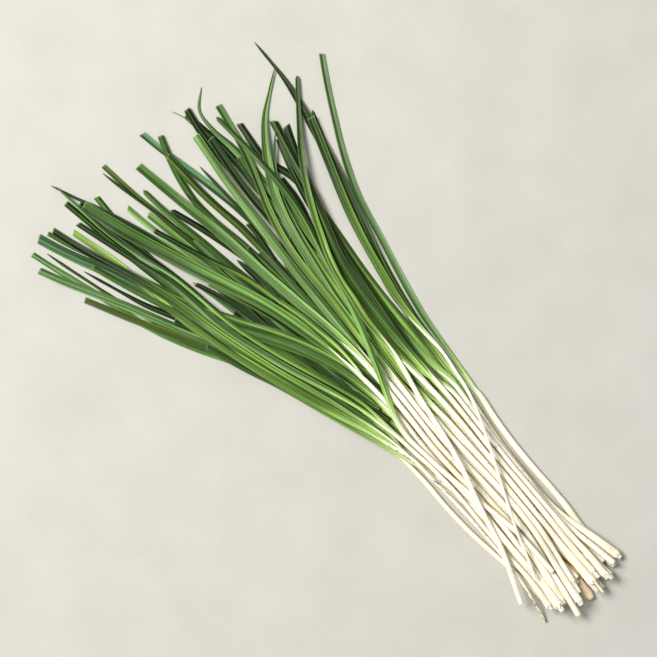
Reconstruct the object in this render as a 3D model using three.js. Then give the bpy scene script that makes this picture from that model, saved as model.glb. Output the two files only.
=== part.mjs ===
// A loose bunch of flat-leaved chives, lying on its side. Millimetres, Z up, X from
// the cut ends to the leaf tips. Each shoot is one piece: a round pale stalk that opens
// into one, two or three flat leaves. The shoots are laid one at a time, lowest first,
// and each comes to rest on whatever already lies under it.
import * as THREE from 'three';

// Driving sizes
const BUNCH_LENGTH = 352;      // from the cut ends to the furthest leaf tip
const BUNCH_SPREAD = 184;      // across the fanned leaves
const STALK_SIZE = 3.0;        // thickness of a middling stalk
const LEAF_WIDTH = 4.0;        // width of a middling leaf
const LEAF_THICKNESS = 0.9;    // thickness of every leaf
const CLEARANCE = 0.3;         // air between one shoot and the next
const SAG = 170;               // a bridging shoot drops x * x / SAG over a distance x
const MOST_ROLL = 0.8;         // furthest a stalk rolls aside to lie lower
const MOST_LEAN = 0.55;        // steepest sideways slope of a leaf
const RING_STEP = 13;          // spacing of the cross-sections along a shoot

// The routes below are drawn for a bunch of this length and spread, so they stretch with it
const DRAWN_LENGTH = 352;
const DRAWN_SPREAD = 184;

const STALK_GREEN = 0x9fb86a;
const LEAF_GREENS = [0x3f7a2a, 0x4f8a30, 0x35692a, 0x5f9a3c];
const SHEATH_TAN = 0xd8c08a;

// How much of a leaf's full width is left at each kind of tip
const TIPS = { cut: 0.86, blunt: 0.6, point: 0.16 };

// One leaf: width against the middling leaf, kind of tip, route from the stalk to the tip
const leaf = (width, tip, ...route) => ({ width, tip, route });

// One shoot: thickness against the middling stalk, route of the stalk from its cut end to
// the fork, then its leaves from the +Y side to the -Y side
const shoot = (thickness, stalk, ...leaves) => ({ thickness, stalk, leaves });

// Most stalks lie side by side in beds, one bed in the hollows of the bed under it. This is
// the route of a stalk that lies some lanes in from the -Y edge, from its cut end to its fork
const LANE = STALK_SIZE + 3 * CLEARANCE;
const BED_LINE = [
  { x: -150, middle: -1.6, open: 1 },
  { x: -120, middle: -4.2, open: 1 },
  { x: -95, middle: -5, open: 1.15 },
];
const lane = (place, cut, fork) => [
  [cut, -2.4 + 1.15 * LANE * (place - 4)],
  ...BED_LINE.map(({ x, middle, open }) => [x, middle + open * LANE * (place - 4)]),
  [fork, -5.8 + 1.45 * LANE * (place - 4)],
];

// Lowest shoots, side by side on the surface, from the -Y side to the +Y side
const LOWEST = [
  shoot(1, [[-192, -18], [-165, -19.8], [-150, -22.4], [-120, -24.6], [-98, -27.4], [-80, -31]],
    leaf(0.55, 'blunt', [-60, -32], [-30, -36], [0, -43.6], [30, -53], [65, -65.5], [86.5, -74.3]),
    leaf(0.8, 'cut', [-60, -35], [-30, -39.6], [-12, -44.4], [12, -51.8], [40, -60.6], [60, -70.4],
      [75, -79.5], [90, -89], [103.5, -98.5])),
  shoot(0.86, [[-191, -22.8], [-180, -21.4], [-165, -19], [-150, -17], [-120, -19.2], [-95, -23],
    [-74, -27.4]],
    leaf(1, 'point', [-45, -31.2], [-20, -36], [0, -41.4], [20, -48.4], [40, -56], [60, -62.5],
      [75, -67], [105, -75], [132.5, -78])),
  shoot(1, lane(1, -186, -72),
    leaf(0.9, 'cut', [-50, -27], [-20, -30.6], [0, -32.7], [20, -36], [40, -39.6], [58, -42],
      [70, -42.4], [82, -39.4], [93, -36])),
  shoot(1.04, lane(2, -184, -70),
    leaf(1, 'cut', [-40, -20.6], [0, -24], [40, -24.6], [75, -25.4], [90, -27.2], [105, -27.8],
      [118, -27], [131, -26]),
    leaf(0.5, 'point', [-40, -24], [0, -28.6], [40, -29.4], [75, -29.6], [92, -31.2], [108, -31],
      [120, -30.6], [128, -33], [135.5, -42])),
  shoot(0.96, lane(3, -181, -68),
    leaf(0.92, 'cut', [-40, -13.2], [0, -13], [40, -12], [75, -11], [95, -9], [110, -7],
      [125, -4.6], [140, -3]),
    leaf(0.9, 'cut', [-40, -17.4], [0, -18.8], [40, -18.2], [60, -18.6], [80, -20.5], [100, -23],
      [120, -25.4], [132.5, -28.4])),
  shoot(1, lane(4, -185, -66),
    leaf(0.78, 'cut', [-40, -5.4], [0, -3.2], [40, 0.4], [70, 2.4], [86, 2.6], [100, 1.8],
      [115, -2], [132.5, -9]),
    leaf(0.4, 'point', [-40, -8.8], [0, -9], [40, -9.4], [75, -11.2], [95, -11.8], [107, -12.2])),
  shoot(0.98, lane(5, -182, -64),
    leaf(0.88, 'blunt', [-30, 1], [0, 2.4], [30, 3], [55, 4.2], [75, 8], [90, 11.6], [101.5, 14.5]),
    leaf(0.4, 'point', [-30, -2.6], [0, -2], [30, -1.4], [60, -0.4], [85, 2], [102.5, 3])),
  shoot(1.02, lane(6, -186, -62),
    leaf(0.7, 'cut', [-30, 6.4], [0, 8.8], [40, 15], [60, 17], [75, 18], [90, 19.2], [105, 20.4],
      [120, 22], [142.5, 23]),
    leaf(0.85, 'blunt', [-30, 3.4], [0, 5.6], [40, 11.2], [55, 13], [80, 15], [100, 17], [119, 17.3])),
  shoot(0.94, lane(7, -184, -60),
    leaf(0.8, 'cut', [-30, 11.6], [0, 13.6], [30, 16.6], [60, 19.6], [80, 21.2], [108, 24.4]),
    leaf(0.5, 'point', [-30, 8.6], [0, 10.6], [30, 13.4], [60, 15.8], [80, 17.8], [105, 20.8],
      [125, 24], [140, 26])),
  shoot(1, lane(8, -185, -64),
    leaf(0.9, 'cut', [-30, 20], [0, 26.4], [20, 31.4], [40, 36.8], [60, 38.6], [80, 39.4],
      [105, 39.8], [120, 38.4], [133.5, 37]),
    leaf(0.8, 'cut', [-30, 15], [0, 15.4], [30, 16.8], [55, 20.4], [80, 24.6], [100, 27.8],
      [118, 29.5])),
  shoot(0.88, [[-178, 20.4], [-165, 20.8], [-150, 21.6], [-130, 22.7], [-110, 22.4], [-90, 20.8],
    [-72, 20.6]],
    leaf(0.8, 'cut', [-55, 24.6], [-25, 31], [-5, 37], [20, 46], [40, 55.6], [60, 63.6], [75, 67.8],
      [100, 73], [120, 78], [136, 81.5]),
    leaf(0.42, 'point', [-55, 21.6], [-25, 28], [0, 35], [20, 42], [40, 51], [60, 59.2], [80, 65.4],
      [100, 69.8], [120, 74], [131, 76])),
];

// Shoots of the middle, in the hollows between the lowest ones
const MIDDLE = [
  shoot(1, lane(0.5, -190, -66),
    leaf(0.88, 'cut', [-50, -25.4], [-35, -25.2], [-20, -25.2], [-6, -26.4], [10, -29.4], [30, -33.8],
      [50, -38], [68, -43.6], [88, -51.5])),
  shoot(0.86, lane(1.5, -193, -68),
    leaf(0.9, 'cut', [-45, -22], [-20, -25.6], [0, -29.4], [20, -33.6], [45, -40], [70, -49.6],
      [90, -59])),
  shoot(0.9, lane(2.5, -188, -70),
    leaf(0.9, 'cut', [-45, -12], [-20, -13.6], [0, -15.4], [25, -17.4], [50, -18.6], [75, -20],
      [95, -23], [113, -26.4])),
  shoot(0.86, lane(3.5, -192, -72),
    leaf(0.88, 'cut', [-50, -5.8], [-25, -3.6], [0, -2.8], [20, -3.6], [40, -4.4], [60, -4.8],
      [75, -4.8], [90, -3.4], [122, -4]),
    leaf(0.5, 'blunt', [-50, -9], [-25, -8.6], [0, -8.8], [30, -9.6], [55, -12.6], [75, -15],
      [90, -15.8])),
  shoot(0.9, lane(4.5, -182, -70),
    leaf(0.72, 'point', [-38, 4.4], [-22, 8.4], [-5, 13], [15, 19.4], [32, 26], [67, 33]),
    leaf(0.6, 'cut', [-38, 1], [-20, 4.8], [0, 9.6], [20, 15.2], [40, 21], [60, 27.5]),
    leaf(0.55, 'blunt', [-38, -2], [-20, 1.6], [0, 6], [20, 10.8], [45, 14.8], [82, 17])),
  shoot(0.94, lane(5.5, -182, -66),
    leaf(0.85, 'point', [-40, 5.6], [0, 11], [30, 16.4], [50, 22], [75, 27.4], [90, 30.4],
      [105, 34], [130, 41], [142, 45.4], [154.5, 49.5])),
  shoot(1, lane(7.5, -183, -70),
    leaf(0.8, 'cut', [-30, 22.4], [0, 29.8], [30, 37.6], [60, 41.6], [90, 45.4], [115, 48],
      [142.5, 50.5]),
    leaf(0.75, 'cut', [-30, 18.6], [0, 25.6], [30, 32.6], [50, 35.4], [75, 37.8], [100, 42],
      [120, 45], [137, 46])),
  shoot(0.96, [[-186, 17.4], [-165, 15.4], [-150, 15.2], [-120, 13.2], [-100, 14.8], [-76, 17.4]],
    leaf(0.88, 'cut', [-50, 23.4], [-20, 31], [10, 40.4], [40, 52.6], [60, 61.6], [75, 68.4],
      [100, 79]),
    leaf(1, 'cut', [-50, 19.6], [-20, 26.8], [10, 35.8], [40, 47.8], [60, 56.6], [75, 62.8],
      [100, 73.6], [112, 79], [127.5, 85]),
    leaf(0.74, 'point', [-50, 16], [-20, 22.6], [15, 34], [40, 44], [60, 52.4], [75, 58.4],
      [90, 63], [111, 69])),
  shoot(0.96, lane(6.5, -188, -64),
    leaf(1.12, 'cut', [-37, 8.6], [-20, 11], [-5, 15], [12, 22], [28, 30.4], [45, 38.8],
      [60, 45.6], [80, 52.4], [105, 61], [120, 67.4], [139.5, 73.5]),
    leaf(0.62, 'cut', [-37, 5], [-20, 7], [0, 12.6], [20, 21.4], [40, 32], [60, 41], [80, 48.4],
      [105, 57], [120, 63], [138, 68.2])),
  shoot(0.86, [[-176, 10.4], [-155, 11.4], [-135, 12.2], [-118, 13], [-100, 14.8], [-84, 17.2]],
    leaf(0.76, 'cut', [-70, 20.8], [-50, 26.2], [-25, 33], [0, 39.8], [20, 46.6], [38, 51.6]),
    leaf(0.82, 'cut', [-70, 18.2], [-50, 23], [-25, 29.8], [-5, 35.4], [20, 43], [40, 47.8],
      [60, 50.6], [80, 52], [100, 53.4], [129, 58.5])),
];

// Uppermost shoots, which cross over the rest
const UPPERMOST = [
  shoot(0.82, [[-193, -11], [-180, -12.4], [-165, -13.2], [-145, -15], [-120, -17.4], [-100, -19.6],
    [-68, -22.4]],
    leaf(0.95, 'cut', [-50, -18.8], [-40, -17.2], [-30, -17.6], [-20, -18.8], [-8, -20.4], [5, -22.2],
      [25, -25], [50, -29.4], [75, -35.6], [108, -42.6])),
  shoot(0.88, [[-189.5, -7.5], [-175, -8.4], [-155, -10.6], [-140, -12.4], [-120, -14.2], [-100, -16],
    [-84, -18.2], [-66, -20]],
    leaf(1.12, 'cut', [-45, -20.6], [-25, -22.4], [0, -25.2], [20, -29.6], [40, -37], [60, -45],
      [75, -49.2], [96.5, -56])),
  shoot(1, [[-190, -4], [-180, -4.6], [-165, -5.6], [-145, -8], [-120, -10.6], [-100, -12], [-80, -14],
    [-56, -15.2]],
    leaf(0.78, 'cut', [-40, -15.8], [-22, -16.8], [0, -20.2], [20, -23.6], [45, -29.6], [64, -35])),
  shoot(0.86, [[-188, 4.2], [-178, 2], [-165, -0.8], [-145, -4.8], [-120, -7.2], [-100, -8],
    [-78, -9.2]],
    leaf(0.8, 'cut', [-60, -9.8], [-40, -10.8], [-25, -13.2], [-8, -16.8], [15, -20], [40, -22.2],
      [70, -24.6], [96, -30])),
  shoot(0.84, [[-193, 8], [-183, 6.2], [-165, 2.4], [-145, -1.6], [-120, -3.8], [-100, -4.4],
    [-76, -5.6]],
    leaf(0.5, 'point', [-50, -6.2], [-35, -8], [-20, -11], [0, -14.6], [25, -19.6], [50, -25.6],
      [65, -31], [78, -39], [92, -53])),
  shoot(0.96, [[-196, 13], [-185, 10.4], [-165, 6], [-145, 1.8], [-120, -0.4], [-100, -1],
    [-80, -2], [-56, -4.4]],
    leaf(1.12, 'point', [-30, -7.2], [-10, -10.2], [10, -13], [30, -17.6], [55, -24.4], [70, -30.4],
      [80, -36.6], [90, -44], [100, -53], [115.5, -76])),
  shoot(0.9, [[-185, 14], [-165, 9.8], [-145, 5.4], [-120, 3.2], [-100, 2.6], [-80, 1.6],
    [-62, -1], [-44, -2.8]],
    leaf(1.12, 'cut', [-28, -2.8], [-10, -4.4], [5, -6.2], [30, -8.6], [50, -11], [70, -13.8],
      [90, -16.6], [119.5, -22]),
    leaf(0.9, 'cut', [-28, -5.8], [-5, -9], [15, -11.4], [35, -13.6], [55, -18], [65, -21.4],
      [90, -32], [105, -37], [122.5, -41.5])),
  shoot(0.96, [[-188, 17.6], [-165, 13.6], [-145, 9.2], [-120, 6.8], [-100, 6.2], [-80, 5.2],
    [-60, 2.6], [-40, -0.2]],
    leaf(1.18, 'cut', [-20, -1], [0, -0.4], [20, 1.5], [40, 3], [60, 4], [75, 4.8], [95, 7],
      [129.5, 10.2])),
  shoot(0.86, [[-162, 14], [-145, 12.8], [-120, 10.4], [-100, 9.8], [-80, 8.6], [-60, 6.2],
    [-34, 5.2]],
    leaf(1.6, 'cut', [-16, 6.6], [0, 8.8], [15, 10.4], [30, 14], [50, 20.4], [70, 27], [90, 33],
      [110, 39], [135, 44.5]),
    leaf(0.7, 'cut', [-14, 3.2], [5, 4.6], [25, 8], [48, 11.4], [70, 19], [100, 28])),
  shoot(0.78, [[-184, 20.4], [-165, 17.6], [-145, 16.6], [-120, 14.2], [-95, 13.2], [-64, 14]],
    leaf(0.78, 'cut', [-40, 18], [-20, 23.4], [0, 29.4], [20, 34.6], [40, 38.6], [60, 40], [75, 41.4],
      [100, 47], [130.5, 53.7]),
    leaf(0.4, 'point', [-40, 14.8], [-20, 19.8], [0, 25.6], [20, 30.8], [40, 34.4], [60, 36],
      [75, 37.6], [110, 45.6], [152, 48])),
  shoot(0.7, [[-187, 28], [-175, 24.4], [-155, 20], [-140, 18.4], [-120, 17.4], [-100, 16.6],
    [-78, 16.8]],
    leaf(0.78, 'cut', [-60, 21.4], [-40, 27], [-20, 32.8], [0, 38.2], [20, 43], [40, 46.8],
      [60, 50], [75, 54.4], [90, 59], [109, 64]),
    leaf(0.95, 'cut', [-60, 18.6], [-40, 23.8], [-20, 29.2], [0, 34.6], [20, 39.2], [40, 42.8],
      [60, 45.6], [80, 49.8], [100, 55.4], [120, 61.6], [137, 65.5])),
  shoot(0.8, [[-170, 7.4], [-150, 6], [-130, 7], [-110, 9.2], [-90, 10.4], [-68, 10.6]],
    leaf(0.82, 'blunt', [-55, 7.8], [-42, 1.2], [-28, -5], [-12, -12], [5, -18], [25, -23.4],
      [45, -30], [62, -34], [85, -36], [119, -36.5])),
  shoot(0.6, [[-166, 16], [-155, 10.8], [-145, 7], [-125, -3], [-110, -10.6], [-95, -18.6],
    [-75, -27.4], [-50, -32.6]],
    leaf(1.1, 'cut', [-32, -34.2], [-16, -36], [0, -40], [20, -45.6], [40, -52.4], [55, -58.6],
      [70, -65], [84, -71])),
  shoot(0.84, [[-170.5, 30], [-160, 25], [-140, 15.8], [-120, 9.8], [-100, 3], [-80, -2.6],
    [-62, -6.8], [-46, -11.4]],
    leaf(0.8, 'blunt', [-30, -15.2], [-12, -16.6], [5, -20.4], [20, -24], [40, -33], [55, -41],
      [70, -51], [88, -66.4], [104.5, -81.5])),
];

// The papery husk: a dry flat strip, wide for its thickness, that lies among the cut ends
const HUSK = { width: 0.95, tip: 'blunt', route: [[-195.5, 2.6], [-185, 1.4], [-176, -1], [-166, -3.4]] };

// The bed is what a new shoot comes to rest on: the height of everything laid so far, in
// small cells, with the clearance already added
const CELL = 0.3;
const BED_X = Math.ceil(BUNCH_LENGTH * 0.62 / CELL);
const BED_Y = Math.ceil(BUNCH_SPREAD * 0.62 / CELL);
const BED_ROW = 2 * BED_X + 1;
const bed = new Float32Array(BED_ROW * (2 * BED_Y + 1));

const bedAt = (x, y) => bed[(Math.round(y / CELL) + BED_Y) * BED_ROW + Math.round(x / CELL) + BED_X];

function coverBed(x, y, top) {
  for (const row of [Math.floor(y / CELL), Math.ceil(y / CELL)]) {
    for (const column of [Math.floor(x / CELL), Math.ceil(x / CELL)]) {
      const cell = (row + BED_Y) * BED_ROW + column + BED_X;
      bed[cell] = Math.max(bed[cell], top + CLEARANCE);
    }
  }
}

const smooth = (t) => {
  const clamped = Math.min(Math.max(t, 0), 1);
  return clamped * clamped * (3 - 2 * clamped);
};

const mix = (a, b, t) => a + (b - a) * t;

// Even points along a smooth curve through a drawn route
function walk(route) {
  const scaled = route.map(([x, y]) => new THREE.Vector3(
    x * BUNCH_LENGTH / DRAWN_LENGTH, y * BUNCH_SPREAD / DRAWN_SPREAD, 0));
  const curve = new THREE.CatmullRomCurve3(scaled, false, 'centripetal');
  return curve.getSpacedPoints(Math.ceil(curve.getLength() / RING_STEP));
}

// Gives each cross-section its distance from the fork, its sideways direction and its lean
function orient(rings, startWay) {
  rings.forEach((ring, i) => {
    const before = rings[Math.max(i - 1, 0)];
    const after = rings[Math.min(i + 1, rings.length - 1)];
    const way = new THREE.Vector2(after.x - before.x, after.y - before.y).normalize();
    const used = i === 0 && startWay ? startWay : way;
    ring.way = used;
    ring.side = new THREE.Vector2(-used.y, used.x);
    ring.run = i === 0 ? 0 : rings[i - 1].run + Math.hypot(ring.x - rings[i - 1].x, ring.y - rings[i - 1].y);
  });
}

// A stalk's distances count back from its fork
function setRuns(rings) {
  orient(rings);
  const length = rings.at(-1).run;
  rings.forEach((ring) => { ring.run -= length; });
}

// Cross-sections of a stalk: round, a little thicker at the cut end
function stalkRings(thickness, route) {
  const points = walk(route);
  const rings = points.map((point, i) => {
    const half = 0.5 * STALK_SIZE * thickness * mix(1.06, 1, i / (points.length - 1));
    return { x: point.x, y: point.y, half, deep: half, lean: 0 };
  });
  orient(rings);
  return rings;
}

// Cross-sections of a leaf: it leaves the fork as a slice of the stalk, flattens, widens
// and narrows again to its tip
function leafRings({ width, tip, route }, fork, slice) {
  const start = slice ? fork.half * slice.shift : 0;
  const points = walk([[fork.x * DRAWN_LENGTH / BUNCH_LENGTH, fork.y * DRAWN_SPREAD / BUNCH_SPREAD],
    ...route]);
  points[0].x += fork.side.x * start;
  points[0].y += fork.side.y * start;
  const full = 0.5 * LEAF_WIDTH * width;
  const rings = points.map((point, i) => {
    const t = i / (points.length - 1);
    const opened = smooth(t / 0.3);
    const taper = mix(1, TIPS[tip], smooth((t - 0.72) / 0.28));
    const half = mix(fork.half * (slice ? slice.half : 1), full, opened) * taper;
    const deep = mix(fork.deep, 0.5 * LEAF_THICKNESS, smooth(t / 0.1));
    return { x: point.x, y: point.y, half, deep, lean: 0 };
  });
  orient(rings, fork.way);
  return rings;
}

// Keeps the leaves of one shoot clear of each other once they have left the fork
function partSiblings(upper, lower) {
  for (const ring of upper.slice(1)) {
    for (const other of lower.slice(1)) {
      const gap = Math.hypot(ring.x - other.x, ring.y - other.y);
      const along = Math.abs((ring.x - other.x) * ring.way.x + (ring.y - other.y) * ring.way.y);
      const across = (ring.x - other.x) * ring.side.x + (ring.y - other.y) * ring.side.y;
      const wanted = ring.half + other.half + 3 * CLEARANCE;
      if (gap < RING_STEP && along < 0.6 * RING_STEP && across < wanted) {
        const push = 0.5 * (wanted - across);
        ring.x += ring.side.x * push;
        ring.y += ring.side.y * push;
        other.x -= ring.side.x * push;
        other.y -= ring.side.y * push;
      }
    }
  }
}

// How far the surface of a strand lies from its middle, at v from -1 to 1 across it
const roundness = (round, v) => (round ? Math.min(1, 1.414 - Math.abs(v)) : 1);

// How far the two triangles of a twisted four-sided face may stand off its even surface, at
// s across it and t along it, for a twist of one
const twistBulge = (s, t) => Math.max(Math.min(s, t) - s * t, s * t - Math.max(0, s + t - 1));

// Visits points of a strand, every half cell along and across it
function visit(strand, see) {
  const { rings, round } = strand;
  for (let i = 0; i + 1 < rings.length; i += 1) {
    const a = rings[i];
    const b = rings[i + 1];
    const twist = 2 * Math.abs(b.half * b.lean - a.half * a.lean);
    const long = Math.ceil((b.run - a.run) / (0.8 * CELL));
    const wide = Math.ceil(2 * Math.max(a.half, b.half) / (0.8 * CELL));
    for (let m = 0; m <= long; m += 1) {
      const t = m / long;
      for (let n = 0; n <= wide; n += 1) {
        const v = 2 * n / wide - 1;
        const x = mix(a.x + a.side.x * a.half * v, b.x + b.side.x * b.half * v, t);
        const y = mix(a.y + a.side.y * a.half * v, b.y + b.side.y * b.half * v, t);
        const deep = mix(a.deep, b.deep, t) * roundness(round, v) + twist * twistBulge(n / wide, t);
        const rise = mix(a.half * a.lean, b.half * b.lean, t) * v;
        see(x, y, deep, rise, t, a, b, i * 1000 + m);
      }
    }
  }
}

// A stalk rolls a little to one side where that lets it lie lower
function rollStalk(rings) {
  const shifts = rings.map(({ x, y, side, half }) => {
    let lowest = Infinity;
    let best = 0;
    for (let shift = -MOST_ROLL; shift <= MOST_ROLL; shift += 0.1 * MOST_ROLL) {
      let height = 0.1 * Math.abs(shift);
      for (let v = -1; v <= 1; v += 0.125) {
        const u = shift + half * v;
        height = Math.max(height, bedAt(x + side.x * u, y + side.y * u) + half * roundness(true, v)
          + 0.1 * Math.abs(shift));
      }
      if (height < lowest) {
        lowest = height;
        best = shift;
      }
    }
    return best;
  });
  rings.forEach((ring, i) => {
    const near = shifts.slice(Math.max(i - 1, 0), i + 2);
    const shift = near.reduce((sum, value) => sum + value, 0) / near.length;
    ring.x += ring.side.x * shift;
    ring.y += ring.side.y * shift;
  });
}

// A leaf lies like a plank over the bed: of all pairs of points under it, one on each side
// of its middle, it rests on the pair that holds the middle highest
function plankLean(ring) {
  const { x, y, side, half } = ring;
  const under = (u) => bedAt(x + side.x * u, y + side.y * u);
  let best = -1;
  let lean = 0;
  for (let left = 0.1; left <= 1; left += 0.1) {
    for (let right = 0.1; right <= 1; right += 0.1) {
      const low = under(-left * half);
      const high = under(right * half);
      const middle = (low * right + high * left) / (left + right);
      if (middle > best) {
        best = middle;
        lean = (high - low) / ((left + right) * half);
      }
    }
  }
  return THREE.MathUtils.clamp(lean, -MOST_LEAN, MOST_LEAN);
}

function leanLeaf(rings) {
  const leans = rings.map(plankLean);
  rings.forEach((ring, i) => {
    const near = leans.slice(Math.max(i - 1, 0), i + 2);
    ring.lean = i === 0 ? 0 : near.reduce((sum, value) => sum + value, 0) / near.length;
  });
}

// The lowest height the middle of a strand may have at each point along it
function supports(strand) {
  const found = new Map();
  visit(strand, (x, y, deep, rise, t, a, b, key) => {
    const needed = bedAt(x, y) + deep - rise;
    const known = found.get(key);
    if (!known || known.needed < needed) {
      found.set(key, { needed, run: mix(a.run, b.run, t), t, a, b });
    }
  });
  return [...found.values()];
}

// Rests a stalk and its leaves on the bed together: every support lifts its neighbours,
// less and less with distance, as a limp strand hangs
function rest(strands) {
  const held = strands.map(supports);
  strands.forEach((strand, i) => {
    for (const ring of strand.rings) {
      let height = 0;
      held.forEach((points, j) => {
        const apart = i > 0 && j > 0 && i !== j;
        for (const point of points) {
          const distance = apart ? ring.run + point.run : ring.run - point.run;
          height = Math.max(height, point.needed - distance * distance / SAG);
        }
      });
      ring.z = height;
    }
  });
  const fork = strands[0].rings.at(-1);
  for (const points of held) {
    for (const { needed, t, a, b } of points) {
      const short = needed - mix(a.z, b.z, t);
      if (short > 0) {
        a.z += short;
        b.z += short;
      }
    }
    fork.z = Math.max(fork.z, ...strands.slice(1).map((strand) => strand.rings[0].z));
    for (const strand of strands.slice(1)) {
      strand.rings[0].z = fork.z;
    }
  }
}

function coverWith(strand) {
  visit(strand, (x, y, deep, rise, t, a, b) => coverBed(x, y, mix(a.z, b.z, t) + deep + rise));
}

// The eight corners of a stalk's cross-section, flat underneath, counted from the +Y side up
function stalkCorners(ring) {
  return [[1, 0.414], [0.414, 1], [-0.414, 1], [-1, 0.414], [-1, -0.414], [-0.414, -1], [0.414, -1],
    [1, -0.414]].map(([v, w]) => [ring.x + ring.side.x * ring.half * v,
    ring.y + ring.side.y * ring.half * v, ring.z + ring.deep * w]);
}

// The four corners of a leaf's cross-section, in the order its mouth at the fork has them
function leafCorners(ring, order) {
  return order.map(([v, w]) => [ring.x + ring.side.x * ring.half * v,
    ring.y + ring.side.y * ring.half * v, ring.z + ring.half * ring.lean * v + ring.deep * w]);
}

const OUTER = [[-1, -1], [1, -1], [1, 1], [-1, 1]];
const INNER = [[1, 1], [-1, 1], [-1, -1], [1, -1]];

// Which corners of the fork each leaf grows from, and where that slice lies across the stalk
const SLICES = {
  2: [
    { mouth: [6, 7, 0, 1], order: OUTER, shift: 0.707, half: 0.293 },
    { mouth: [2, 3, 4, 5], order: INNER, shift: -0.707, half: 0.293 },
  ],
  3: [
    { mouth: [6, 7, 0, 1], order: OUTER, shift: 0.707, half: 0.293 },
    { mouth: [1, 2, 5, 6], order: INNER, shift: 0, half: 0.414 },
    { mouth: [2, 3, 4, 5], order: INNER, shift: -0.707, half: 0.293 },
  ],
};

// A closed skin: corners are added, then joined by four-sided and three-sided faces
class Skin {
  points = [];

  faces = [];

  add(corners) {
    const first = this.points.length;
    this.points.push(...corners);
    return corners.map((_, i) => first + i);
  }

  tube(from, to) {
    from.forEach((corner, i) => {
      const next = (i + 1) % from.length;
      this.quad(corner, from[next], to[next], to[i]);
    });
  }

  quad(a, b, c, d) {
    this.faces.push([a, b, c], [a, c, d]);
  }

  cap(corners) {
    for (let i = 1; i + 1 < corners.length; i += 1) {
      this.faces.push([corners[0], corners[i], corners[i + 1]]);
    }
  }

  mesh(name, colour) {
    const geometry = new THREE.BufferGeometry();
    geometry.setAttribute('position', new THREE.Float32BufferAttribute(this.points.flat(), 3));
    geometry.setIndex(this.faces.flat());
    geometry.computeVertexNormals();
    const material = new THREE.MeshStandardMaterial({ color: colour, roughness: 0.5, metalness: 0 });
    const mesh = new THREE.Mesh(geometry, material);
    mesh.name = name;
    return mesh;
  }
}

function growLeaf(skin, mouth, rings, order) {
  let last = mouth;
  for (const ring of rings.slice(1)) {
    const next = skin.add(leafCorners(ring, order));
    skin.tube(last, next);
    last = next;
  }
  skin.cap(last);
}

// A single leaf takes the whole stalk: its eight corners close in pairs onto the leaf's four
function growSingleLeaf(skin, last, rings) {
  const next = skin.add(leafCorners(rings[1], [[1, 1], [-1, 1], [-1, -1], [1, -1]]));
  next.forEach((corner, i) => {
    skin.faces.push([last[2 * i], last[2 * i + 1], corner]);
    skin.quad(last[2 * i + 1], last[(2 * i + 2) % 8], next[(i + 1) % 4], corner);
  });
  growLeaf(skin, next, rings.slice(1), [[1, 1], [-1, 1], [-1, -1], [1, -1]]);
}

function makeShoot({ thickness, stalk, leaves }, name, colour) {
  const stem = { rings: stalkRings(thickness, stalk), round: true };
  rollStalk(stem.rings);
  setRuns(stem.rings);
  const fork = stem.rings.at(-1);
  const slices = SLICES[leaves.length];
  const blades = leaves.map((blade, i) => ({
    rings: leafRings(blade, fork, slices && slices[i]),
    round: false,
  }));
  for (let i = 0; i + 1 < blades.length; i += 1) {
    partSiblings(blades[i].rings, blades[i + 1].rings);
  }
  blades.forEach((blade) => {
    orient(blade.rings, fork.way);
    leanLeaf(blade.rings);
  });
  rest([stem, ...blades]);
  [stem, ...blades].forEach(coverWith);

  const skin = new Skin();
  let last = skin.add(stalkCorners(stem.rings[0]));
  skin.cap([...last].reverse());
  for (const ring of stem.rings.slice(1)) {
    const next = skin.add(stalkCorners(ring));
    skin.tube(last, next);
    last = next;
  }
  if (slices) {
    slices.forEach(({ mouth, order }, i) => {
      growLeaf(skin, mouth.map((corner) => last[corner]), blades[i].rings, order);
    });
  } else {
    growSingleLeaf(skin, last, blades[0].rings);
  }
  if (leaves.length === 2) {
    skin.quad(last[1], last[2], last[5], last[6]);
  }
  return skin.mesh(name, colour);
}

function makeHusk() {
  const points = walk(HUSK.route);
  const rings = points.map((point) => ({
    x: point.x,
    y: point.y,
    half: 0.5 * LEAF_WIDTH * HUSK.width,
    deep: 0.5 * LEAF_THICKNESS,
    lean: 0,
  }));
  orient(rings);
  const strand = { rings, round: false };
  rest([strand]);
  coverWith(strand);
  const skin = new Skin();
  const first = skin.add(leafCorners(rings[0], INNER));
  skin.cap([...first].reverse());
  growLeaf(skin, first, rings, INNER);
  return skin.mesh('dry_husk', SHEATH_TAN);
}

const bunch = new THREE.Group();
bunch.name = 'chive_bunch';

let count = 0;
function lay(shoots) {
  for (const row of shoots) {
    count += 1;
    const name = `shoot_${String(count).padStart(2, '0')}`;
    const colour = row.leaves.length > 1 ? LEAF_GREENS[count % LEAF_GREENS.length] : STALK_GREEN;
    bunch.add(makeShoot(row, name, colour));
  }
}

lay(LOWEST);
bunch.add(makeHusk());
lay(MIDDLE);
lay(UPPERMOST);

// The origin is under the middle of the bunch, on the surface it lies on
const box = new THREE.Box3().setFromObject(bunch);
const middle = box.getCenter(new THREE.Vector3());
for (const mesh of bunch.children) {
  mesh.geometry.translate(-middle.x, -middle.y, -box.min.z);
}

export default bunch;
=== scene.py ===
import math

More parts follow.
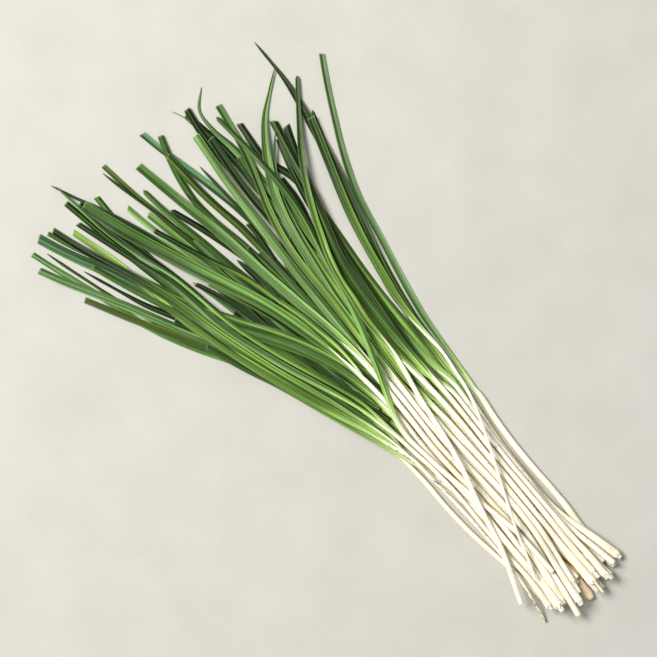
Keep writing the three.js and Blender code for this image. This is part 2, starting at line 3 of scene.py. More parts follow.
import bpy
import numpy as np
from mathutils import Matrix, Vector


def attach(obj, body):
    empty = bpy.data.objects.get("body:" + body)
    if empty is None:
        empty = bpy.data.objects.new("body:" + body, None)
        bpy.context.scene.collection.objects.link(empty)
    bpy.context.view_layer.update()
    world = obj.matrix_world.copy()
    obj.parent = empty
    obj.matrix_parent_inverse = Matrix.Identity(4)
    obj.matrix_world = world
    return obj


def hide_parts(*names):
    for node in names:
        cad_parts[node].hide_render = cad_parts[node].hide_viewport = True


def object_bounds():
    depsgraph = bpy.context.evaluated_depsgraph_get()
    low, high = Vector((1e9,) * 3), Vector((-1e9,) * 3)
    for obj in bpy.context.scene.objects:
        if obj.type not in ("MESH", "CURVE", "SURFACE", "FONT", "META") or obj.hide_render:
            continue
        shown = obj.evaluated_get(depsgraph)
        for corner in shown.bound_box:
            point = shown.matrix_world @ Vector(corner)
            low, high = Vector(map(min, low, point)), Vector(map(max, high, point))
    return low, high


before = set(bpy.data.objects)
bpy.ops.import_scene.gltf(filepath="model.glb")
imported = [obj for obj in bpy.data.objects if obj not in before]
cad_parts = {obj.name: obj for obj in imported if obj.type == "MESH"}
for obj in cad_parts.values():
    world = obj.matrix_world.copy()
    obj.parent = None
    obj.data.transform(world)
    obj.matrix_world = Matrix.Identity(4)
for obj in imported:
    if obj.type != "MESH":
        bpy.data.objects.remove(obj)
cad_box = [list(corner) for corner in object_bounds()]
MM = 0.001

# ---------------------------------------------------------------------------------------
# The lowest shoots
# Fresh flat-leaved chives, side by side on the surface. Each is one grown piece: a round
# white stalk that flattens into a strap leaf, with further leaves that come out of its side.
# ---------------------------------------------------------------------------------------


def laid_sections(node):
    """Reads one laid solid as cross-sections. The first is the corners at the cut end, and
    each next one is the corners joined to the last by an edge. Where they fall into separate
    groups, each group starts a leaf. Returns the stalk's corners and a list of leaves."""
    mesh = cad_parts[node].data
    loose = np.empty(len(mesh.vertices) * 3, np.float32)
    mesh.vertices.foreach_get("co", loose)
    corners, same = np.unique(np.round(loose.reshape(-1, 3), 5), axis=0, return_inverse=True)
    index = np.empty(len(mesh.loops), np.int32)
    mesh.loops.foreach_get("vertex_index", index)
    sides = same.reshape(-1)[index].reshape(-1, 3)
    joined = np.zeros((len(corners), len(corners)), bool)
    for a, b in ((0, 1), (1, 2), (2, 0)):
        joined[sides[:, a], sides[:, b]] = joined[sides[:, b], sides[:, a]] = True

    def groups(marked):
        left, found = marked.copy(), []
        while left.any():
            group = np.zeros_like(left)
            group[np.argmax(left)] = True
            while True:
                wider = (joined[group].any(axis=0) & left) | group
                if (wider == group).all():
                    break
                group = wider
            found.append(group)
            left &= ~group
        return found

    def follow(group, seen, first):
        run = [first, group]
        while True:
            nearby = joined[run[-1]].any(axis=0) & ~seen
            if not nearby.any():
                return [corners[g] for g in run[1:]]
            seen |= nearby
            run.append(nearby)

    size = 4 if node == "dry_husk" else 8
    ring = np.zeros(len(corners), bool)
    ring[np.argsort(corners[:, 0])[:size]] = True
    seen, stalk = ring.copy(), [ring]
    while True:
        nearby = joined[stalk[-1]].any(axis=0) & ~seen
        parts = groups(nearby)
        if len(parts) != 1 or nearby.sum() != size:
            break
        seen |= nearby
        stalk.append(nearby)
    seen |= nearby
    leaves = [follow(part, seen, stalk[-1]) for part in parts]
    leaves.sort(key=lambda leaf: -leaf[0][:, 1].mean())
    return [corners[g] for g in stalk], leaves


THINNEST_HALF = 0.65 * MM   # a leaf narrows to this before its tip


def level_side(way):
    """For each direction, the level unit vector square to it: (-y, x, 0) over its length."""
    side = np.stack([-way[..., 1], way[..., 0], np.zeros(way.shape[:-1])], axis=-1)
    return side / np.linalg.norm(side, axis=-1, keepdims=True)


def strand_sizes(sections):
    """Middle, half width, half thickness and sideways slope of each cross-section: the middle
    is a leaf's mean corner or the middle of a stalk's box, the sideways direction is level
    and square to the run of middles, the half width is the widest corner's distance that
    way, and a leaf's slope is the height difference of its two sides over its width."""
    middle = np.array([(s.min(axis=0) + s.max(axis=0)) / 2 if len(s) == 8 else s.mean(axis=0)
                       for s in sections])
    side = level_side(np.gradient(middle, axis=0))
    sizes = []
    for section, m, s in zip(sections, middle, side):
        across = (section - m) @ s
        left, right = section[across > 0], section[across < 0]
        half = np.abs(across).max()
        if len(section) == 4:
            slope = (left[:, 2].mean() - right[:, 2].mean()) / (2 * max(half, THINNEST_HALF))
        else:
            slope = 0.0
        measured = section if len(section) == 8 else left
        deep = (measured[:, 2].max() - measured[:, 2].min()) / 2
        sizes.append((half, deep, slope))
    return np.column_stack([middle, np.array(sizes)])


def smooth_through(rows, step):
    """Carries rows of numbers, whose first three are a point, along a smooth curve through
    the points. Between two rows it is the cubic that has their values and, at each, the slope
    of the line between its neighbours. Returns the new rows and each one's distance."""
    gaps = np.linalg.norm(np.diff(rows[:, :3], axis=0), axis=1)
    at = np.concatenate([[0], np.cumsum(gaps)])
    slope = np.gradient(rows, at, axis=0)
    new = np.linspace(0, at[-1], max(int(round(at[-1] / step)), 8) + 1)
    k = np.clip(np.searchsorted(at, new, side="right") - 1, 0, len(at) - 2)
    wide = (at[k + 1] - at[k])[:, None]
    t = ((new - at[k])[:, None]) / wide
    out = ((2 * t**3 - 3 * t**2 + 1) * rows[k] + (t**3 - 2 * t**2 + t) * wide * slope[k]
           + (3 * t**2 - 2 * t**3) * rows[k + 1] + (t**3 - t**2) * wide * slope[k + 1])
    return out, new


def ease(x):
    """From 0 to 1 as x goes from 0 to 1, level at both ends: three x squared less two x cubed."""
    x = np.clip(x, 0, 1)
    return x * x * (3 - 2 * x)


def waver(along, seed, length, parts=3):
    """A wandering line between about -1 and 1: a sum of sines of different lengths."""
    chance = np.random.default_rng(seed)
    out = np.zeros_like(along)
    for _ in range(parts):
        wave = length * chance.uniform(0.6, 1.7)
        out += np.sin(along * 2 * math.pi / wave + chance.uniform(0, 6.3)) / parts
    return out


def point_vectors(mesh, name, values):
    """Keeps three numbers for each point of a mesh, under a name that its skin reads."""
    mesh.attributes.new(name, "FLOAT_VECTOR", "POINT").data.foreach_set(
        "vector", values.astype(np.float32).reshape(-1))


def in_scene(name, data):
    """A new object with this mesh, lamp or camera, in the scene."""
    made = bpy.data.objects.new(name, data)
    bpy.context.scene.collection.objects.link(made)
    return made


AROUND = 28              # points round a strand
STATION = 1.6 * MM       # spacing of the points along a strand
KEEL = 0.46              # depth of a leaf's fold against its half width
OPENS_OVER = 42 * MM     # a round stalk has become a flat leaf this far past the fork
TIP_SIZES = {"cut": 0.0, "blunt": 2.6 * MM, "point": 9 * MM}   # length of the narrowing at a tip
TIP_HALF = 0.12 * MM     # half width left at the very end of a narrowed tip
THINNEST_DEEP = 0.3 * MM     # half thickness of the thinnest leaf
SLANT = 0.5              # the steepest slant of a knife cut, along against across
SLANT_OVER = 9 * MM      # it fades out this far back from the end
RIBBED = 0.035           # height of a stalk's ribs, against its radius
UNEVEN_HALF = 0.05       # how much of a strand's width comes and goes along it
UNEVEN_DEEP = 0.06       # how much of a stalk's thickness comes and goes along it
# The ends, as rows of points: how far out each row is, and how proud it stands. A cut end
# shows the layers of the sheath.
CUT_LAYERS = [(0.06, 0.16), (0.2, 0.2), (0.3, 0.17), (0.36, -0.1), (0.5, -0.06), (0.58, 0.1),
              (0.66, 0.1), (0.72, -0.12), (0.84, -0.08), (0.9, 0.06), (0.97, 0.05), (1.0, -0.08)]
HIDDEN_END = [(0.1, 0.0), (0.7, 0.0), (1.0, 0.0)]
LEAF_END = [(1.0, 0.0), (0.9, 0.03), (0.5, 0.05), (0.1, 0.05)]
ON_TABLE = 0.03 * MM     # nothing lies lower than this


def strand_mesh(name, rows, along, fork, tip, fold, seed, whole=True):
    """A strand is a closed profile carried along the laid path. The profile goes round by an
    angle: across it is the half width times the cosine, up it is the half thickness times
    the sine, so a stalk is round, with faint ribs. A leaf adds a fold, its depth times one
    half less the distance from the middle, so a leaf is a shallow V. The fold and the change
    from round to flat grow in past the fork. A blunt tip narrows as a quarter of an ellipse,
    and a pointed one by the distance left to the power of 0.7. At both ends the profile
    shrinks to close the strand."""
    middle, half, deep, slope = rows[:, :3], rows[:, 3], rows[:, 4], rows[:, 5]
    past = along - fork
    flat = ease(past / OPENS_OVER + 0.15)
    end = along[-1]
    half = np.abs(half) * (1 + UNEVEN_HALF * waver(along, seed, 34 * MM))
    uneven = 1 + UNEVEN_DEEP * (1 - flat) * waver(along, seed + 1, 23 * MM)
    deep = np.maximum(np.abs(deep), THINNEST_DEEP) * uneven
    if TIP_SIZES[tip]:
        left = np.clip((end - along) / TIP_SIZES[tip], 0, 1)
        half = np.maximum(half, THINNEST_HALF)
        narrowed = np.sqrt(1 - (1 - left) ** 2) if tip == "blunt" else left ** 0.7
        half = half * narrowed + TIP_HALF
        deep = deep * (0.35 + 0.65 * left ** 0.5)
    thin = deep * (1 - 0.3 * flat)
    lean = slope + flat * 0.1 * waver(along, seed + 2, 70 * MM)
    folded = fold * flat * KEEL * half * (0.8 + 0.35 * waver(along, seed + 3, 60 * MM))

    # rows that close the two ends
    last = len(along) - 1
    head = np.array(CUT_LAYERS if whole else HIDDEN_END)
    foot = np.array(LEAF_END)
    pick = np.concatenate([np.zeros(len(head), int), np.arange(1, last + 1), np.full(len(foot), last)])
    grow = np.concatenate([head[:, 0], np.ones(last), foot[:, 0]])
    out = np.concatenate([-head[:, 1] * half[0] * 0.5, np.zeros(last), foot[:, 1] * half[-1]])

    way = np.gradient(middle, axis=0)
    way /= np.linalg.norm(way, axis=1, keepdims=True)
    side = level_side(way) + np.array([0, 0, 1.0]) * lean[:, None]
    side /= np.linalg.norm(side, axis=1, keepdims=True)
    up = np.cross(way, side)

    angle = np.linspace(0, 2 * math.pi, AROUND, endpoint=False)[None, :]
    u, v = np.cos(angle), np.sin(angle)
    chance = np.random.default_rng(seed + 9)
    ribs = 1 + RIBBED * (1 - flat[pick])[:, None] * np.sin(angle * chance.integers(5, 8) + seed)
    across = half[pick, None] * grow[:, None] * u * ribs
    rise = (thin[pick, None] * grow[:, None] * v * ribs
            + folded[pick, None] * (0.5 - np.abs(u)) * grow[:, None])
    # a knife cuts a leaf at a slant
    slant = chance.uniform(-SLANT, SLANT) if tip == "cut" else 0.0
    near_end = ease(1 - (end - along[pick]) / SLANT_OVER)[:, None]
    ahead = out[:, None] + slant * across * near_end
    points = (middle[pick, None, :] + side[pick, None, :] * across[..., None]
              + up[pick, None, :] * rise[..., None] + way[pick, None, :] * ahead[..., None])
    points[..., 2] = np.maximum(points[..., 2], cad_box[0][2] + ON_TABLE)

    count = len(pick)
    row, column = np.meshgrid(np.arange(count - 1), np.arange(AROUND), indexing="ij")
    nxt = (column + 1) % AROUND
    quads = np.stack([row * AROUND + column, row * AROUND + nxt,
                      (row + 1) * AROUND + nxt, (row + 1) * AROUND + column], axis=-1).reshape(-1, 4)
    caps = [list(range(AROUND))[::-1], list(range((count - 1) * AROUND, count * AROUND))]
    mesh = bpy.data.meshes.new(name)
    mesh.from_pydata(points.reshape(-1, 3).tolist(), [], quads.tolist() + caps)
    mesh.polygons.foreach_set("use_smooth", np.ones(len(mesh.polygons), bool))
    fibre = np.broadcast_arrays(along[pick, None] / MM, across / MM, v)
    point_vectors(mesh, "fibre", np.stack(fibre, axis=-1))
    shape = np.broadcast_arrays(np.abs(u), grow[:, None], 0.0)
    point_vectors(mesh, "shape", np.stack(shape, axis=-1))
    mesh.update()
    return in_scene(name, mesh)


# The colours of a shoot, as linear light: the greens a leaf is made of, then the stalk's
GREENS = {
    "dark": (0.010, 0.026, 0.005),
    "deep": (0.022, 0.053, 0.007),
    "teal": (0.058, 0.142, 0.058),
    "mid": (0.042, 0.098, 0.018),
    "olive": (0.054, 0.096, 0.012),
    "sage": (0.105, 0.205, 0.066),
    "fresh": (0.120, 0.240, 0.050),
    "light": (0.078, 0.166, 0.033),
    "bright": (0.135, 0.255, 0.044),
    "lime": (0.200, 0.345, 0.062),
    "pale": (0.160, 0.290, 0.085),
}
STALK_WHITE = (0.850, 0.852, 0.772)
FIRST_GREEN = (0.350, 0.540, 0.130)
CUT_EDGE = (0.260, 0.330, 0.110)
STAIN = (0.230, 0.100, 0.030)
# the yellow of old sheath, which also paints the warm glow of light through the stalks in the seams
# between them
YELLOW_SHEATH_AND_SEAM_GLOW = (0.820, 0.620, 0.240)
CUT_RING = (0.660, 0.520, 0.270)
# the painted highlight along a leaf's edges
RIM_HIGHLIGHT = (0.300, 0.440, 0.130)
PALE_SPINE = (0.280, 0.420, 0.120)
PATCHY = 70.0            # the streaks carry the green this many millimetres up and down


def shoot_skin(name, white_to, green_at, near, far, end, seed, fold=1, stain=0.0, age=0.0):
    """The skin of a strand: cream along the stalk, then pale green that runs up in fine
    streaks, then the leaf's two greens one after the other, with fine veins along it,
    a painted highlight along the rim, a paler middle line, cloudy patches, and small brown
    stains on the stalk. The half of a folded leaf that slopes away from the lamp is painted
    darker and the other half painted lighter, as painted shade and light. With age the
    stalk yellows in streaks, and its flanks carry a warm yellow, stronger with age, that is
    painted glow of light through the stalks in the seams between them. Light goes deeper
    into the white than into the green. Distances along the strand are in millimetres."""
    skin = bpy.data.materials.new(name)
    skin.use_nodes = True
    tree = skin.node_tree
    nodes, links = tree.nodes, tree.links
    nodes.clear()

    def node(kind, **values):
        made = nodes.new(kind)
        for key, value in values.items():
            setattr(made, key, value)
        return made

    def calc(operation, a, b, clamp=False):
        made = node("ShaderNodeMath", operation=operation, use_clamp=clamp)
        for slot, value in enumerate((a, b)):
            if isinstance(value, (int, float)):
                made.inputs[slot].default_value = value
            else:
                links.new(value, made.inputs[slot])
        return made.outputs[0]

    def mapped(value, lo, hi, to_lo=0.0, to_hi=1.0, kind="SMOOTHSTEP"):
        made = node("ShaderNodeMapRange", interpolation_type=kind)
        links.new(value, made.inputs["Value"])
        for key, number in (("From Min", lo), ("From Max", hi), ("To Min", to_lo), ("To Max", to_hi)):
            made.inputs[key].default_value = number
        return made.outputs["Result"]

    def noise(scale, place, detail=2.0, rough=0.5):
        made = node("ShaderNodeTexNoise")
        links.new(place, made.inputs["Vector"])
        made.inputs["Scale"].default_value = scale
        made.inputs["Detail"].default_value = detail
        made.inputs["Roughness"].default_value = rough
        return made.outputs["Fac"]

    def blend(fac, a, b, kind="MIX"):
        made = node("ShaderNodeMix", data_type="RGBA", blend_type=kind)
        if isinstance(fac, float):
            made.inputs["Factor"].default_value = fac
        else:
            links.new(fac, made.inputs["Factor"])
        for slot, value in (("A", a), ("B", b)):
            socket = [s for s in made.inputs if s.name == slot and s.type == "RGBA"][0]
            if isinstance(value, tuple):
                socket.default_value = (*value, 1)
            else:
                links.new(value, socket)
        return [s for s in made.outputs if s.type == "RGBA"][0]

    def placed(stretch):
        made = node("ShaderNodeMapping")
        links.new(fibre.outputs["Vector"], made.inputs["Vector"])
        made.inputs["Location"].default_value = (seed * 7.3 % 97, seed * 3.1 % 53, seed * 1.7 % 31)
        made.inputs["Scale"].default_value = stretch
        return made.outputs["Vector"]

    fibre = node("ShaderNodeAttribute", attribute_name="fibre")
    shape = node("ShaderNodeAttribute", attribute_name="shape")
    split = node("ShaderNodeSeparateXYZ")
    links.new(fibre.outputs["Vector"], split.inputs[0])
    along, across = split.outputs["X"], split.outputs["Y"]
    parts = node("ShaderNodeSeparateXYZ")
    links.new(shape.outputs["Vector"], parts.inputs[0])
    out_from_middle, ringed = parts.outputs["X"], parts.outputs["Y"]

    streak = noise(1.0, placed((0.012, 2.6, 0.8)), 3.0, 0.6)
    band = noise(1.0, placed((0.008, 0.85, 0.2)), 1.0, 0.5)
    vein = noise(1.0, placed((0.010, 5.5, 0.4)), 2.0, 0.7)
    cloud = noise(1.0, placed((0.05, 0.30, 0.3)), 3.0, 0.6)
    grain = noise(1.0, placed((1.3, 5.0, 3.0)), 3.0, 0.6)

    run_up = calc("ADD", along, calc("MULTIPLY", calc("SUBTRACT", streak, 0.5), PATCHY))
    span = max(green_at - white_to, 12.0)
    first = mapped(run_up, white_to - 0.15 * span, white_to + 0.75 * span)
    second = mapped(run_up, white_to + 0.35 * span, green_at + 0.55 * span)
    third = mapped(calc("ADD", along, calc("MULTIPLY", calc("SUBTRACT", cloud, 0.5), 60.0)),
                   green_at + 0.25 * (end - green_at), green_at + 0.85 * (end - green_at))
    colour = blend(first, STALK_WHITE, FIRST_GREEN)
    colour = blend(second, colour, GREENS[near])
    colour = blend(calc("MULTIPLY", third, second), colour, GREENS[far])

    # fine veins, cloudy patches, a painted highlight along the rim and a paler line down the middle
    lighter = mapped(vein, 0.34, 0.66, 0.56, 1.40, "LINEAR")
    clouded = calc("MULTIPLY", mapped(cloud, 0.3, 0.7, 0.84, 1.16, "LINEAR"),
                   mapped(band, 0.42, 0.58, 0.60, 1.28))
    # painted shade and light: the half of a folded leaf that slopes away from the lamp is painted darker,
    # the other half lighter
    painted_fold_shading = mapped(across, -0.25 * fold, 0.25 * fold, 0.58, 1.20)
    on_leaf = calc("MULTIPLY", painted_fold_shading, calc("MULTIPLY", lighter, clouded))
    on_stalk = mapped(vein, 0.3, 0.7, 0.94, 1.04, "LINEAR")
    tint = node("ShaderNodeMix", data_type="FLOAT")
    links.new(second, tint.inputs[0])
    links.new(on_stalk, tint.inputs[2])
    links.new(on_leaf, tint.inputs[3])
    shade = node("ShaderNodeCombineColor")
    for slot in range(3):
        links.new(tint.outputs[0], shade.inputs[slot])
    colour = blend(1.0, colour, shade.outputs[0], "MULTIPLY")
    # a painted highlight along the leaf's edges
    rim = calc("MULTIPLY", mapped(out_from_middle, 0.84, 0.98), calc("MULTIPLY", second, 0.34))
    colour = blend(rim, colour, RIM_HIGHLIGHT)
    spine = calc("MULTIPLY", mapped(out_from_middle, 0.12, 0.0), calc("MULTIPLY", second, 0.20))
    colour = blend(spine, colour, PALE_SPINE)
    # a knife-cut leaf end is pale and a little dry
    cut = calc("MULTIPLY", mapped(along, end - 0.9, end - 0.2), 0.35)
    colour = blend(cut, colour, CUT_EDGE)
    # the layers of the sheath show as thin tan rings at the cut end of the stalk
    core = mapped(ringed, 0.99, 0.7, 0.0, 0.30)
    ring_line = calc("MULTIPLY", mapped(calc("PINGPONG", ringed, 0.15), 0.0, 0.06, 1.0, 0.0), core)
    rings = calc("ADD", calc("MULTIPLY", core, 0.35), ring_line, clamp=True)
    colour = blend(rings, colour, CUT_RING)
    # the stalk yellows in streaks, more with age; its flanks, where it lies against its neighbours, get a
    # warm yellow that is painted glow of light through the stalks in the seams, stronger with age; and it
    # has soil-brown specks in places
    on_white = calc("SUBTRACT", 1.0, first)
    yellow = mapped(noise(1.0, placed((0.022, 1.1, 0.6)), 2.0), 0.55, 0.64, 0.0, 0.22 + 0.50 * age)
    seam_glow_and_age = mapped(out_from_middle, 0.62, 0.94, 0.06 * age, 0.66 + 0.32 * age)
    yellowing_and_seam_glow = calc("MULTIPLY", calc("ADD", yellow, seam_glow_and_age, clamp=True), on_white)
    colour = blend(yellowing_and_seam_glow, colour, YELLOW_SHEATH_AND_SEAM_GLOW)
    if stain:
        spotted = mapped(noise(1.0, placed((0.30, 1.1, 1.0)), 3.0, 0.7),
                         0.64 - 0.12 * stain, 0.68 - 0.12 * stain)
        where = mapped(noise(1.0, placed((0.035, 0.2, 0.2)), 1.0), 0.46, 0.56)
        speck = calc("MULTIPLY", calc("MULTIPLY", spotted, where),
                     calc("MULTIPLY", on_white, 0.5 + 0.4 * stain))
        colour = blend(speck, colour, STAIN)

    surface = node("ShaderNodeBsdfPrincipled")
    links.new(colour, surface.inputs["Base Color"])
    surface.inputs["Specular IOR Level"].default_value = 0.17
    rough = calc("ADD", mapped(grain, 0.3, 0.7, 0.36, 0.52, "LINEAR"),
                 calc("MULTIPLY", second, -0.04))
    links.new(rough, surface.inputs["Roughness"])
    soft = calc("ADD", 0.14, calc("MULTIPLY", on_white, 0.26))
    links.new(soft, surface.inputs["Subsurface Weight"])
    surface.inputs["Subsurface Radius"].default_value = (1.0, 0.82, 0.42)
    surface.inputs["Subsurface Scale"].default_value = 2.0 * MM
    bump = node("ShaderNodeBump")
    bump.inputs["Strength"].default_value = 0.35
    bump.inputs["Distance"].default_value = 0.10 * MM
    links.new(calc("ADD", vein, calc("MULTIPLY", grain, 0.15)), bump.inputs["Height"])
    links.new(bump.outputs[0], surface.inputs["Normal"])
    output = node("ShaderNodeOutputMaterial")
    links.new(surface.outputs[0], output.inputs["Surface"])
    return skin


SLENDER = {"shoot_32": 0.66, "shoot_34": 0.82}   # thinner stalks, against the laid ones
LEAF_WIDER = 1.08         # a leaf spreads a little past the flat strap laid for it
SIDE_LEAF_INSIDE = 2      # a further leaf starts this many cross-sections before the fork
SIDE_LEAF_HALF = 0.62     # its half width there, against the stalk's
SIDE_LEAF_DEEP = 0.55     # its half thickness there, against the stalk's
OPENING = 60 * MM         # a leaf's base keeps near the stalk's width over this length


def grow_shoot(node, seed, stain, age, *leaves):
    """Lays one shoot: the first leaf carries on from the stalk as one strand, and the others
    start inside the stalk and come out past the fork. Each leaf is (kind of tip, where the
    white ends, where the green is full, near green, far green, fold, width), with places
    in millimetres along the row's X."""
    stalk, blades = laid_sections(node)
    stem = strand_sizes(stalk)
    for i, (tip, white_to, green_at, near, far, fold, wide) in enumerate(leaves):
        blade = strand_sizes([stalk[-1]] + blades[i])[1:]
        if i == 0:
            rows = np.concatenate([stem, blade])
            at_fork = len(stem) - 1
            slim = SLENDER.get(node, 1.0)
            rows[:, 3:5] *= (slim + (1 - slim) * ease(np.arange(len(rows)) / at_fork - 0.2))[:, None]
        else:
            start = stem[-1 - SIDE_LEAF_INSIDE:].copy()
            start[:, 3] *= SIDE_LEAF_HALF
            start[:, 4] *= SIDE_LEAF_DEEP
            rows = np.concatenate([start, blade])
            at_fork = SIDE_LEAF_INSIDE
        rows, along = smooth_through(rows, STATION)
        fork = np.linalg.norm(np.diff(stem[-1 - at_fork:, :3], axis=0), axis=1).sum()
        past = along - fork
        # the leaf that carries on from the stalk keeps nearly its width as it opens
        keep = stem[-1, 3] * (0.98 if i == 0 else 0.6)
        least = keep * (1 - ease(past / OPENING) * 0.6)
        rows[:, 3] = np.where(past > 0, np.maximum(rows[:, 3] * wide * LEAF_WIDER, least), rows[:, 3])
        places = np.interp(np.array([white_to, green_at]) * MM, rows[:, 0], along) / MM
        name = node if i == 0 else f"{node}_leaf_{i + 1}"
        piece = strand_mesh(name + "_strand", rows, along, fork, tip, fold, seed + 10 * i, whole=i == 0)
        piece.data.materials.append(shoot_skin(
            name + "_skin", float(places[0]), float(places[1]), near, far, float(along[-1] / MM),
            seed + 10 * i, fold, stain if i == 0 else 0.0, age))
        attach(piece, "root")
        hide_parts(node)


def grow_layer(shoots, seed, step):
    """Lays the shoots of one layer. Each has its own seed, a step on from the last one's."""
    for number, (node, (stain, age, *leaves)) in enumerate(shoots.items()):
        grow_shoot(node, seed + step * number, stain, age, *leaves)


# Stains and yellowing of the stalk from 0 to 1, and for each leaf its tip, the end of the
# white, the full green, near green, far green, fold and width
LOWEST = {
    "shoot_01": (0.2, 0.2, ("blunt", -64, -30, "light", "deep", 1, 1),
                 ("cut", -64, -30, "sage", "sage", -1, 1)),
    "shoot_02": (0.4, 0.5, ("point", -58, -30, "deep", "dark", -1, 1.1)),
    "shoot_03": (0.3, 0.6, ("cut", -66, -34, "bright", "dark", 1, 1.1)),
    "shoot_04": (0.3, 0.8, ("cut", -60, -34, "mid", "dark", 1, 1.1),
                 ("point", -60, -34, "light", "sage", 1, 2.1)),
    "shoot_05": (0.5, 0.8, ("cut", -60, -34, "deep", "teal", -1, 1),
                 ("cut", -60, -34, "mid", "dark", 1, 1.1)),
    "shoot_06": (0.4, 0.8, ("cut", -60, -34, "teal", "mid", 1, 1.2),
                 ("point", -60, -34, "mid", "deep", 1, 1.1)),
    "shoot_07": (0.4, 0.8, ("blunt", -60, -34, "deep", "dark", 1, 1.2),
                 ("point", -60, -34, "mid", "mid", 1, 1.1)),
    "shoot_08": (0.4, 0.8, ("cut", -60, -34, "mid", "olive", -1, 1),
                 ("blunt", -60, -34, "deep", "mid", 1, 1.1)),
    "shoot_09": (0.3, 0.7, ("cut", -60, -34, "mid", "light", -1, 1.1),
                 ("point", -60, -34, "mid", "deep", 1, 1)),
    "shoot_10": (0.3, 0.6, ("cut", -60, -34, "light", "mid", 1, 1),
                 ("cut", -60, -34, "teal", "pale", 1, 1)),
    "shoot_11": (0.0, 0.1, ("cut", -56, -30, "light", "sage", 1, 1),
                 ("point", -56, -30, "light", "deep", 1, 1.1)),
}
grow_layer(LOWEST, seed=100, step=37)

# ---------------------------------------------------------------------------------------
# The dry husk
# A torn scrap of a dead outer sheath, thin, tan and papery. It is a curled strip with wavering
# sides, and it lies loose among the cut ends.
# ---------------------------------------------------------------------------------------
HUSK_AROUND = 36          # points across a torn strip
HUSK_THICKNESS = 0.16 * MM
HUSK_WIDER = 1.3          # uncurled a little past the flat strip laid for it
HUSK_STEP = 0.5 * MM      # spacing of the points along a torn strip
HUSK_ENDS = 3 * MM        # it narrows over this length at either end
HUSK_RAGGED = 0.9 * MM    # how far the teeth of a torn end stick out
HUSK_RIPPLE = 0.10 * MM   # height of the ripples that run along it


def thin_skin(name, top, low, fibre):
    """A closed sheet from two grids of points, the upper and the lower skin, joined round
    their edge. The point attribute fibre holds where each point is on the sheet."""
    grid = np.arange(top.shape[0] * top.shape[1]).reshape(top.shape[:2])
    a, b, c, d = grid[:-1, :-1], grid[1:, :-1], grid[1:, 1:], grid[:-1, 1:]
    upper = np.stack([a, b, c, d], axis=-1).reshape(-1, 4)
    lower = (upper + grid.size)[:, ::-1]
    edge = np.concatenate([grid[:, 0], grid[-1, 1:], grid[::-1, -1][1:], grid[0, ::-1][1:-1]])
    after = np.roll(edge, -1)
    rim = np.stack([after, edge, edge + grid.size, after + grid.size], axis=-1)
    mesh = bpy.data.meshes.new(name)
    points = np.concatenate([top.reshape(-1, 3), low.reshape(-1, 3)])
    points[:, 2] = np.maximum(points[:, 2], cad_box[0][2] + ON_TABLE)
    mesh.from_pydata(points.tolist(), [], np.concatenate([upper, lower, rim]).tolist())
    mesh.polygons.foreach_set("use_smooth", np.ones(len(mesh.polygons), bool))
    point_vectors(mesh, "fibre", np.concatenate([fibre.reshape(-1, 3)] * 2))
    mesh.update()
    return in_scene(name, mesh)


def torn_strip(name, rows, arch, seed):
    """A curled strip: across it is an arch, its height a share of the half width times 0.62
    less the squared distance from the middle, with ripples along it. The sides waver, the
    two ends narrow and are ragged, and the upper and the lower skin are half a thickness up
    and down."""
    rows, along = smooth_through(rows, HUSK_STEP)
    middle, half = rows[:, :3], np.abs(rows[:, 3])
    way = np.gradient(middle, axis=0)
    way /= np.linalg.norm(way, axis=1, keepdims=True)
    side = level_side(way)
    u = np.linspace(-1, 1, HUSK_AROUND)[None, :]
    torn = 1 + 0.10 * waver(along, seed, 7 * MM)[:, None] * np.abs(u) ** 3
    ends = np.clip(np.minimum(along, along[-1] - along) / HUSK_ENDS, 0, 1)
    across = half[:, None] * u * torn * (0.55 + 0.45 * ends ** 0.5)[:, None]
    ripple = HUSK_RIPPLE * np.sin(u * 19 + 1.3 * waver(along, seed + 3, 9 * MM)[:, None])
    rise = arch * half[:, None] * (0.62 - u ** 2) + ripple
    ragged = HUSK_RAGGED * np.sin(u * 23 + seed) * np.cos(u * 11 + 1) * (1 - ends[:, None])
    base = middle[:, None, :] + side[:, None, :] * across[..., None] + way[:, None, :] * ragged[..., None]
    up = np.array([0, 0, 1.0])
    fibre = np.stack([np.broadcast_to(along[:, None] / MM, across.shape), across / MM,
                      np.zeros_like(across)], axis=-1)
    return thin_skin(name, base + up * (rise + HUSK_THICKNESS / 2)[..., None],
                     base + up * (rise - HUSK_THICKNESS / 2)[..., None], fibre)


